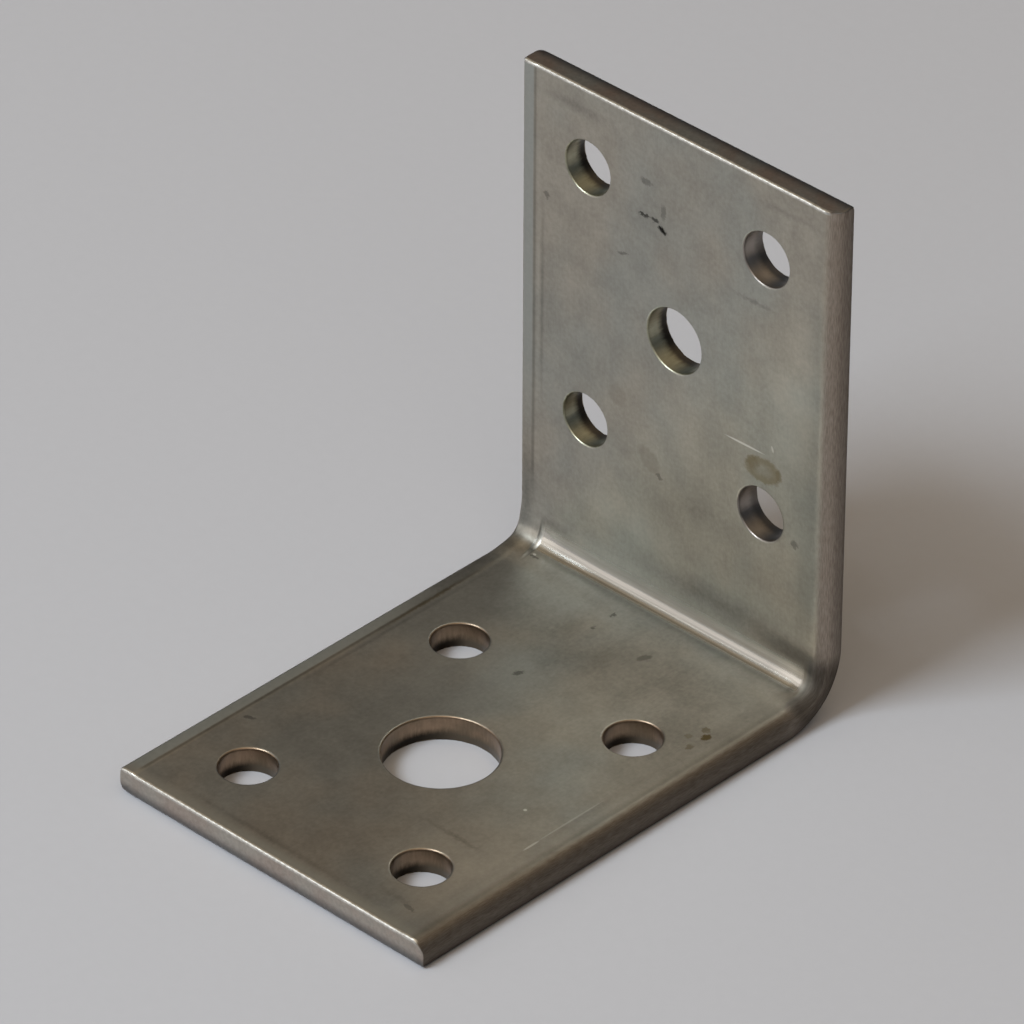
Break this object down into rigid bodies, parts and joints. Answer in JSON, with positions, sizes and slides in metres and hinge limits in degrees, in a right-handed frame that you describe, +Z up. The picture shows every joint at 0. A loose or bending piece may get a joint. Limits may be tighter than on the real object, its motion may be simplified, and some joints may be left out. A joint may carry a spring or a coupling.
{
  "type": "corner brace bracket",
  "caption": "Folded steel corner brace: two equal punched legs at a right angle, screw holes around a larger bolt hole in each leg.",
  "frame": {"origin": "on the underside of the base leg, in the middle of its width and halfway between its free end and the back of the upright", "axes": "+X across the strip, +Y from the base's free end towards the upright, +Z up along the upright leg"},
  "size_m": [0.035, 0.05, 0.05],
  "materials": {
    "steel": "dull satin mill finish, handled and stained"
  },
  "bodies": {
    "root": {"bracket": "steel"}
  },
  "joints": []
}
